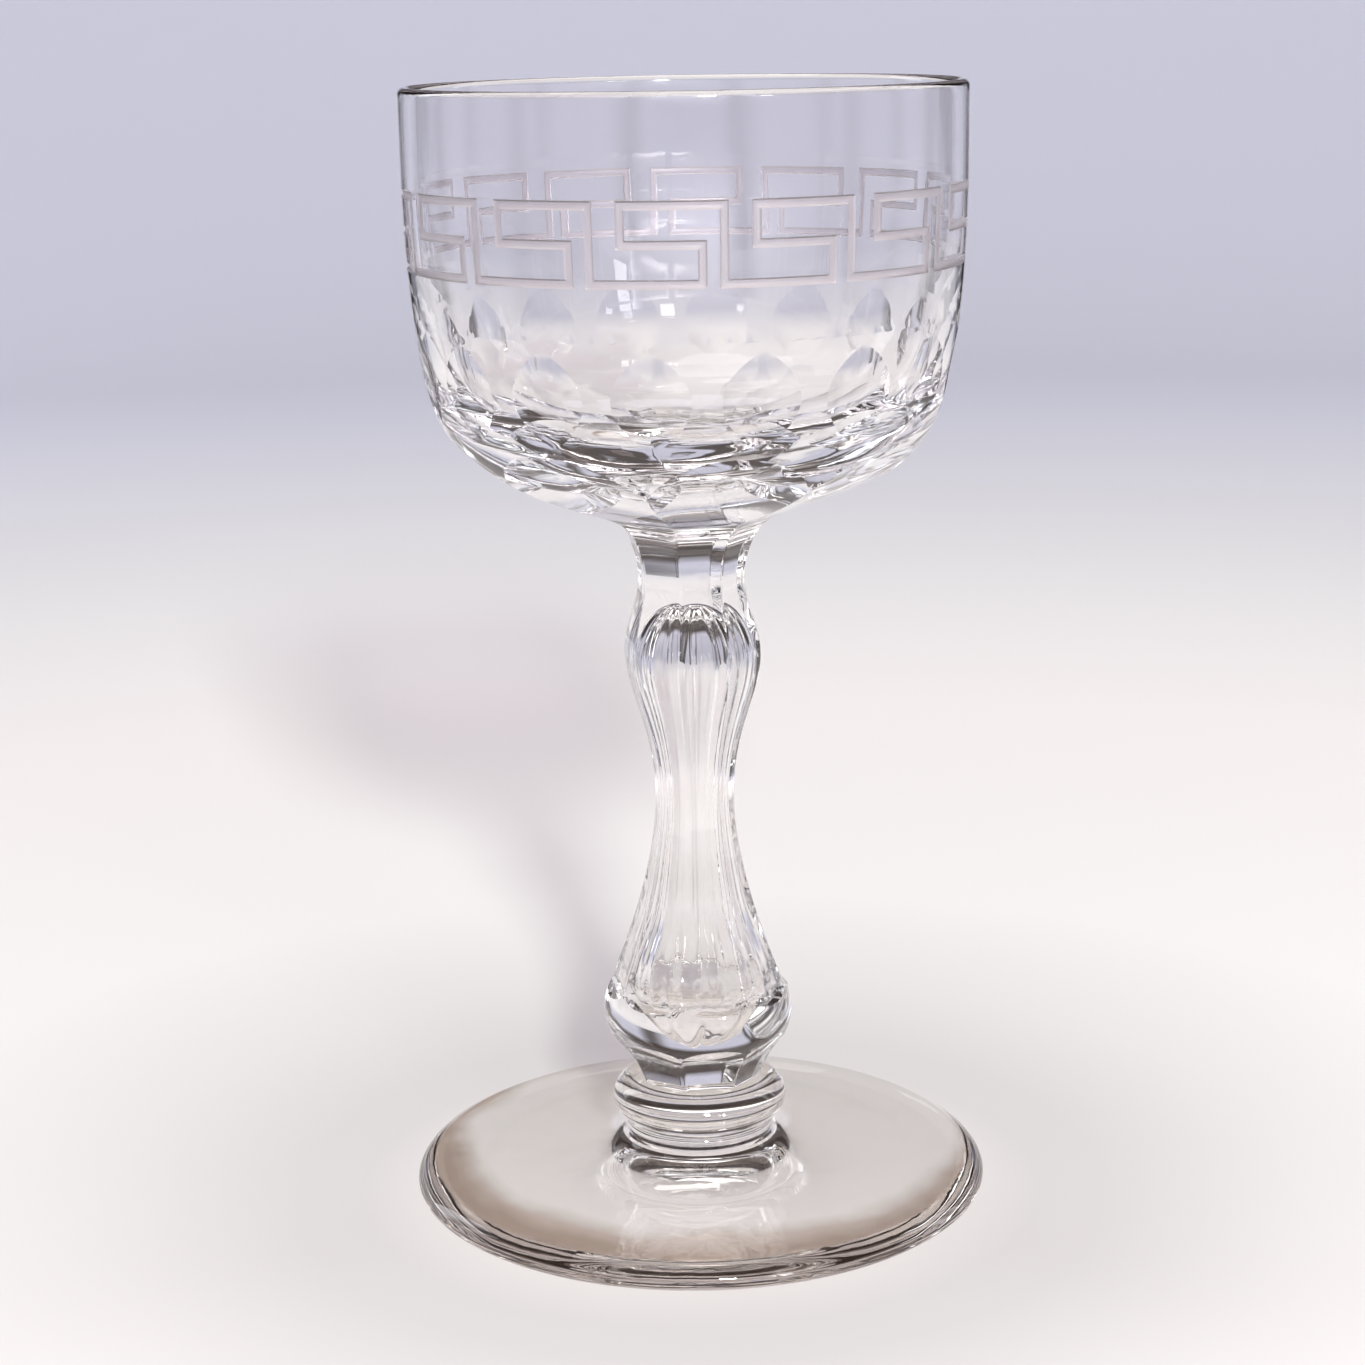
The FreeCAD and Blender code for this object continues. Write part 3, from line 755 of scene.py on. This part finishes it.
def make_stem(materials):
    turning = Turning()
    angles, turns = ground_columns()

    upper = upper_flat()
    found = [crossing(upper, turn) for turn in turns]
    lengths = found[0][0]
    ends = np.array([end for _, end in found])
    ring = turning.add(ground_radius(upper[0][0], turns), STEM_TOP, angles)
    turning.fan_from(STEM_TOP, ring, slot=1)
    ring = grind(turning, ring, upper, 0.0, ends, LONG_ROWS)
    high = np.interp(ends, lengths, upper[:, 1])

    lower = lower_flat()
    found = [crossing(lower, turn) for turn in turns]
    lower_lengths = found[0][0]
    starts = np.array([start for _, start in found])
    low = np.interp(starts, lower_lengths, lower[:, 1])
    for row in range(1, BELT_ROWS + 1):
        height = high + (low - high) * row / BELT_ROWS
        following = turning.add(belt_radius(height), height, angles)
        turning.join(ring, following)
        ring = following
    ring = grind(turning, ring, lower, starts, lower_lengths[-1], SHORT_ROWS)
    turning.fan_to(STEM_BASE, ring, slot=1)
    add_air_space(turning)
    return turning.build("stem_glass", materials)


def add_air_space(turning):
    """The sealed bubble: its surface faces inwards, because the glass is outside it."""
    knop = (AIR_KNOP, AIR_KNOP_HEIGHT)
    waist = (AIR_WAIST, WAIST_HEIGHT)
    shoulder = (AIR_SHOULDER, SHOULDER_HEIGHT)
    side = [(0.0, AIR_LOW), knop]
    for share in AIR_BELOW:
        side.append((waist[0] + (knop[0] - waist[0]) * (1 - share) ** LOWER_TAPER,
                     knop[1] + share * (waist[1] - knop[1])))
    side.append(waist)
    for share in AIR_ABOVE:
        side.append((waist[0] + (shoulder[0] - waist[0]) * eased(share**UPPER_TAPER),
                     waist[1] + share * (shoulder[1] - waist[1])))
    side += [shoulder, (0.0, AIR_HIGH)]
    section = along(curve_through(side, (1, 0), (-1, 0), steps=800), AIR_ROWS)
    angles = even_angles(AIR_COLUMNS, RIDGE_ANGLE)
    turn = np.radians(angles)
    ribs = AIR_RIB_DEPTH * np.cos(AIR_RIBS * np.radians(angles - RIDGE_ANGLE))
    ring = None
    for radius, height in section[1:-1]:
        # The bubble's floor settled unevenly while the glass was soft.
        fading = math.exp(-((height - AIR_LOW) / AIR_UNEVEN_REACH) ** 2)
        uneven = AIR_UNEVEN * fading * min(1.0, radius / AIR_WAIST)
        ripple = sum(size * np.sin(waves * turn + phase + lean * height)
                     for waves, size, phase, lean in AIR_RIPPLES)
        ribbed = ribs * min(1.0, radius / AIR_SHOULDER)
        following = turning.add(radius - uneven * ripple - ribbed,
                                height + 0.5 * uneven * ripple, angles)
        if ring is None:
            turning.fan_from(section[0][1], following)
        else:
            turning.join(ring, following)
        ring = following
    turning.fan_to(section[-1][1], ring)


# ------------------------------------------------------------------ collar and foot

COLLAR_FACE = 7.7
COLLAR_WIDEST = 2.5
COLLAR_SHOULDER = 0.6
COLLAR_LOWER_TURN, COLLAR_UPPER_TURN = 0.36, 0.42   # shares of the height to where it turns in
FOOT_RIM_HEIGHT, FOOT_RIM_TOP, FOOT_RIM_INSET = 1.9, 3.7, 1.9
RIM_SLOPE = 0.25                           # rise per run where the rim meets the upper face
RESTING_RADIUS, RESTING_WIDTH = 28.8, 2.4
FOOT_HOLLOW = 0.8
BOSS_RADIUS, BOSS_EDGE, BOSS_FLARE, BOSS_RISE = 8.4, 0.7, 5.1, 3.3
COLLAR_ROWS, FOOT_COLUMNS = 70, 220
EDGE_ROWS, UPPER_ROWS, RIM_ROWS, UNDER_ROWS = 16, 70, 40, 30


def make_collar(materials):
    turning = Turning()
    height = COLLAR_TOP - COLLAR_BASE
    inner = COLLAR_RADIUS - COLLAR_SHOULDER
    side = curve_through([(COLLAR_FACE, COLLAR_BASE),
                          (inner, COLLAR_BASE + COLLAR_WIDEST * COLLAR_LOWER_TURN),
                          (COLLAR_RADIUS, COLLAR_BASE + COLLAR_WIDEST),
                          (inner, COLLAR_TOP - (height - COLLAR_WIDEST) * COLLAR_UPPER_TURN),
                          (COLLAR_FACE, COLLAR_TOP)], (1, 0), (-1, 0))
    angles, turns = ground_columns()
    ring = turning.add(ground_radius(FOOT_FLAT, turns), COLLAR_TOP, angles)
    turning.fan_from(COLLAR_TOP, ring, slot=1)
    section = along(side[::-1], COLLAR_ROWS)
    ring = turning.sweep(section, angles, ring)
    turning.fan_to(COLLAR_BASE, ring, slot=1)
    return turning.build("collar_glass", materials)


def make_foot(materials):
    turning = Turning()
    rim_top = (FOOT_RADIUS - FOOT_RIM_INSET, FOOT_RIM_TOP)
    flare_end = (BOSS_RADIUS + BOSS_FLARE, BOSS_TOP - BOSS_RISE)
    boss_side = (BOSS_RADIUS, BOSS_TOP - BOSS_EDGE)
    slope = (flare_end[0] - rim_top[0], flare_end[1] - rim_top[1])
    boss_edge = arc_between((BOSS_RADIUS - BOSS_EDGE, BOSS_TOP), boss_side,
                            (BOSS_RADIUS - BOSS_EDGE, BOSS_TOP - BOSS_EDGE), EDGE_ROWS)
    upper = along(curve_through([boss_side, flare_end, rim_top], (0, -1),
                                (-slope[0], -slope[1])), UPPER_ROWS)
    rim = along(curve_through([rim_top, (FOOT_RADIUS, FOOT_RIM_HEIGHT), (RESTING_RADIUS, 0.0)],
                              (1, -RIM_SLOPE), (-1, 0)), RIM_ROWS)
    ring_inner = RESTING_RADIUS - RESTING_WIDTH
    under = along(curve_through([(ring_inner, 0.0), (ring_inner / 2, FOOT_HOLLOW * 0.75),
                                 (0.0, FOOT_HOLLOW)]), UNDER_ROWS)
    section = chain(boss_edge, upper, rim, under)
    angles = even_angles(FOOT_COLUMNS)
    ring = turning.add(section[0][0], section[0][1], angles)
    turning.fan_from(BOSS_TOP, ring, slot=1)
    ring = turning.sweep(section[1:-1], angles, ring)
    turning.fan_to(FOOT_HOLLOW, ring)
    return turning.build("foot_glass", materials)


# ------------------------------------------------------------------ stage, lights, camera

def make_stage():
    """A pale floor that curves up into a round backdrop, the same from every side."""
    flat_radius, wall_radius, wall_height = 0.75, 1.35, 1.1
    section = [(0.02 * flat_radius * (k + 1), 0.0) for k in range(50)]
    turn = np.linspace(0, math.pi / 2, 33)[1:]
    reach = wall_radius - flat_radius
    section += [(flat_radius + reach * math.sin(t), reach * (1 - math.cos(t))) for t in turn]
    section.append((wall_radius, wall_height))
    angles = np.radians(np.arange(128) * FULL_TURN / 128)
    points = [(0.0, 0.0, 0.0)]
    for radius, height in section:
        points.extend((radius * math.cos(a), radius * math.sin(a), height) for a in angles)
    count = len(angles)
    faces = [(0, 1 + i, 1 + (i + 1) % count) for i in range(count)]
    for row in range(len(section) - 1):
        base = 1 + row * count
        for i in range(count):
            j = (i + 1) % count
            faces.append((base + i, base + count + i, base + count + j, base + j))
    mesh = bpy.data.meshes.new("studio_floor")
    mesh.from_pydata(points, [], faces)
    mesh.polygons.foreach_set("use_smooth", [True] * len(faces))
    stage = bpy.data.objects.new("studio_floor", mesh)
    bpy.context.scene.collection.objects.link(stage)
    stage.data.materials.append(stage_material())


# The paper's colour by distance from the axis plus height, in metres: a painted pool of light
# under the middle of the foot, painted shade in a darker ring round it, warm white round the
# object, lilac grey beyond, and painted shade above the backdrop, dark brown for an unlit room.
PAPER_AND_PAINTED_LIGHT = [(0.028, (0.71, 0.68, 0.665)), (0.036, (0.61, 0.59, 0.585)), (0.046, (0.61, 0.59, 0.585)),
         (0.07, (0.70, 0.68, 0.672)), (0.11, (0.81, 0.79, 0.78)), (0.24, (0.88, 0.84, 0.83)),
         (0.33, (0.86, 0.84, 0.84)), (0.47, (0.80, 0.79, 0.83)), (0.67, (0.76, 0.765, 0.88)),
         (1.36, (0.75, 0.755, 0.88)), (1.56, (0.06, 0.045, 0.04))]
PAPER_REACH = 2.0              # distance plus height at the colour ramp's end


def stage_material():
    """Warm white near the object, with painted light and shade round the foot, passing to a cool
    lilac grey on the backdrop, and painted shade above it.
    """
    material, tree = node_tree("studio_paper")
    place = add_node(tree, "TexCoord")
    split = add_node(tree, "SeparateXYZ", links={"Vector": place.outputs["Object"]})
    flat = add_node(tree, "CombineXYZ", links={"X": split.outputs["X"], "Y": split.outputs["Y"]})
    radius = add_node(tree, "VectorMath", links={0: flat.outputs["Vector"]}, operation="LENGTH")
    total = add_node(tree, "Math", links={0: radius.outputs["Value"], 1: split.outputs["Z"]},
                     operation="ADD")
    share = add_node(tree, "Math", {1: PAPER_REACH}, {0: total.outputs["Value"]}, "DIVIDE")
    # The ramp carries painted light and shade round the foot, and painted shade above the backdrop.
    ramp = add_node(tree, "ValToRGB", links={"Fac": share.outputs["Value"]})
    elements = ramp.color_ramp.elements
    elements[0].position, elements[0].color = PAPER_AND_PAINTED_LIGHT[0][0] / PAPER_REACH, (*PAPER_AND_PAINTED_LIGHT[0][1], 1)
    elements[1].position, elements[1].color = PAPER_AND_PAINTED_LIGHT[-1][0] / PAPER_REACH, (*PAPER_AND_PAINTED_LIGHT[-1][1], 1)
    for position, colour in PAPER_AND_PAINTED_LIGHT[1:-1]:
        elements.new(position / PAPER_REACH).color = (*colour, 1)
    shader = add_node(tree, "BsdfPrincipled", {"Roughness": 0.7, "Specular IOR Level": 0.15},
                      {"Base Color": ramp.outputs["Color"]})
    add_node(tree, "OutputMaterial", links={"Surface": shader.outputs["BSDF"]})
    return material


def make_flags():
    """Narrow dark boards round the set, thinning out to their edges. The camera and the paper don't
    see them: the glass does, and they draw its edges dark."""
    count, radius, half_width, height = 8, 0.45, 0.06, 0.60
    columns, rows = 9, 9
    points, faces, strengths = [], [], []
    for index in range(count):
        turn = math.radians((index + 0.5) * FULL_TURN / count)
        centre = Vector((math.cos(turn), math.sin(turn), 0.0)) * radius
        across = Vector((-math.sin(turn), math.cos(turn), 0.0)) * half_width
        base = len(points)
        for row in range(rows):
            level = row / (rows - 1)
            for column in range(columns):
                side = 2 * column / (columns - 1) - 1
                points.append(centre + across * side + Vector((0.0, 0.0, height * level)))
                strengths.append((1 - side * side) ** 2 * (1 - level**3))
        for row in range(rows - 1):
            for column in range(columns - 1):
                first = base + row * columns + column
                faces.append((first, first + 1, first + columns + 1, first + columns))
    mesh = bpy.data.meshes.new("studio_flags")
    mesh.from_pydata(points, [], faces)
    strength = mesh.attributes.new("strength", "FLOAT", "POINT")
    strength.data.foreach_set("value", strengths)
    material, tree = node_tree("studio_flag")
    board = add_node(tree, "BsdfDiffuse", {"Color": (0.035, 0.026, 0.022, 1.0)})
    clear = add_node(tree, "BsdfTransparent")
    share = add_node(tree, "Attribute")
    share.attribute_name = "strength"
    cover = mixed(tree, share.outputs["Fac"], clear.outputs["BSDF"], board.outputs["BSDF"])
    add_node(tree, "OutputMaterial", links={"Surface": cover})
    mesh.materials.append(material)
    flags = bpy.data.objects.new("studio_flags", mesh)
    flags.visible_camera = False
    flags.visible_diffuse = False
    flags.visible_shadow = False
    bpy.context.scene.collection.objects.link(flags)


def soft_light(name, place, target, size, power, colour=(1.0, 1.0, 1.0)):
    data = bpy.data.lights.new(name, "AREA")
    data.shape = "RECTANGLE"
    data.size, data.size_y = size
    data.energy = power
    data.color = colour
    light = bpy.data.objects.new(name, data)
    light.location = place
    aim = Vector(target) - Vector(place)
    light.rotation_euler = aim.to_track_quat("-Z", "Y").to_euler()
    light.visible_camera = False
    bpy.context.scene.collection.objects.link(light)


def make_lights():
    middle = (0.0, 0.0, 0.07)
    soft_light("key", (0.15, -0.86, 0.47), middle, (0.10, 0.12), 13.0, (1.0, 0.98, 0.96))
    soft_light("window_pane_1", (0.38, -0.80, 0.34), middle, (0.08, 0.20), 0.7, (0.95, 0.97, 1.0))
    soft_light("window_pane_2", (0.47, -0.75, 0.34), middle, (0.08, 0.20), 0.7, (0.95, 0.97, 1.0))
    soft_light("window_left", (-0.80, 0.45, 0.45), middle, (0.35, 0.60), 1.6, (0.90, 0.94, 1.0))
    soft_light("window_right", (0.85, 0.35, 0.45), middle, (0.30, 0.60), 1.3, (0.92, 0.95, 1.0))
    soft_light("overhead", (-0.1, 0.3, 1.0), (0.0, 0.25, 0.0), (0.9, 0.5), 2.4, (1.0, 0.98, 0.96))
    world = bpy.data.worlds.new("room")
    world.use_nodes = True
    tree = world.node_tree
    background = tree.nodes["Background"]
    background.inputs["Color"].default_value = (0.16, 0.13, 0.12, 1.0)
    soft = add_node(tree, "Background", {"Color": (0.97, 0.96, 1.0, 1.0), "Strength": 0.55})
    rays = add_node(tree, "LightPath")
    sky = mixed(tree, rays.outputs["Is Diffuse Ray"], background.outputs["Background"],
                soft.outputs["Background"])
    tree.links.new(sky, tree.nodes["World Output"].inputs["Surface"])
    bpy.context.scene.world = world


CAMERA_PLACE = (-1.16, -313.3, 133.7)
CAMERA_PITCH, CAMERA_ROLL = math.radians(13.36), math.radians(-0.98)
CAMERA_LENS, CAMERA_SENSOR = 76.03, 36.0


def make_camera():
    """Looks a little down on the glass, from just above its rim."""
    data = bpy.data.cameras.new("camera")
    data.sensor_width = CAMERA_SENSOR
    data.lens = CAMERA_LENS
    data.clip_start = 0.01
    camera = bpy.data.objects.new("camera", data)
    camera.rotation_mode = "QUATERNION"
    camera.location = [c * MM for c in CAMERA_PLACE]
    camera.rotation_quaternion = (Matrix.Rotation(math.pi / 2 - CAMERA_PITCH, 3, "X")
                                  @ Matrix.Rotation(CAMERA_ROLL, 3, "Z")).to_quaternion()
    bpy.context.scene.collection.objects.link(camera)
    bpy.context.scene.camera = camera


def set_up_paths():
    """Enough bounces for light to cross eight faces of glass and come back."""
    cycles = bpy.context.scene.cycles
    cycles.max_bounces = 24
    cycles.transmission_bounces = 24
    cycles.glossy_bounces = 12
    cycles.transparent_max_bounces = 32
    cycles.caustics_reflective = False
    cycles.caustics_refractive = False
    bpy.context.scene.view_settings.view_transform = "Standard"


# ------------------------------------------------------------------ the scene

joint_face = fused("fused_joint")
bowl_glass = glass("bowl_glass", (0.985, 0.978, 0.98), (0.84, 0.80, 0.85))
matt_lines = engraved("bowl_engraving", (0.68, 0.62, 0.65))
stem_glass = glass("stem_glass", (0.98, 0.972, 0.968), (0.84, 0.80, 0.84), stria_scale=70.0)
collar_glass = glass("collar_glass", (0.92, 0.885, 0.835), (0.92, 0.90, 0.88), edge_on=0.8)
# The foot's rim darkens to brown in patches: painted shade for the dark that the rim's underside
# reflects.
foot_glass = glass("foot_glass", (0.995, 0.988, 0.98), (1.0, 0.998, 0.994), edge_on=1.0,
                   rim_shade=((1.5, 5.0), 28.0, 3.0, (0.52, 0.43, 0.365)), stria_scale=60.0,
                   wave=0.00004)

pieces = {
    "bowl": make_bowl([bowl_glass, matt_lines, joint_face]),
    "stem": make_stem([stem_glass, joint_face]),
    "collar": make_collar([collar_glass, joint_face]),
    "foot": make_foot([foot_glass, joint_face]),
}
for node, piece in pieces.items():
    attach(piece, "root")
    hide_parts(node)

make_stage()
make_flags()
make_lights()
make_camera()
set_up_paths()
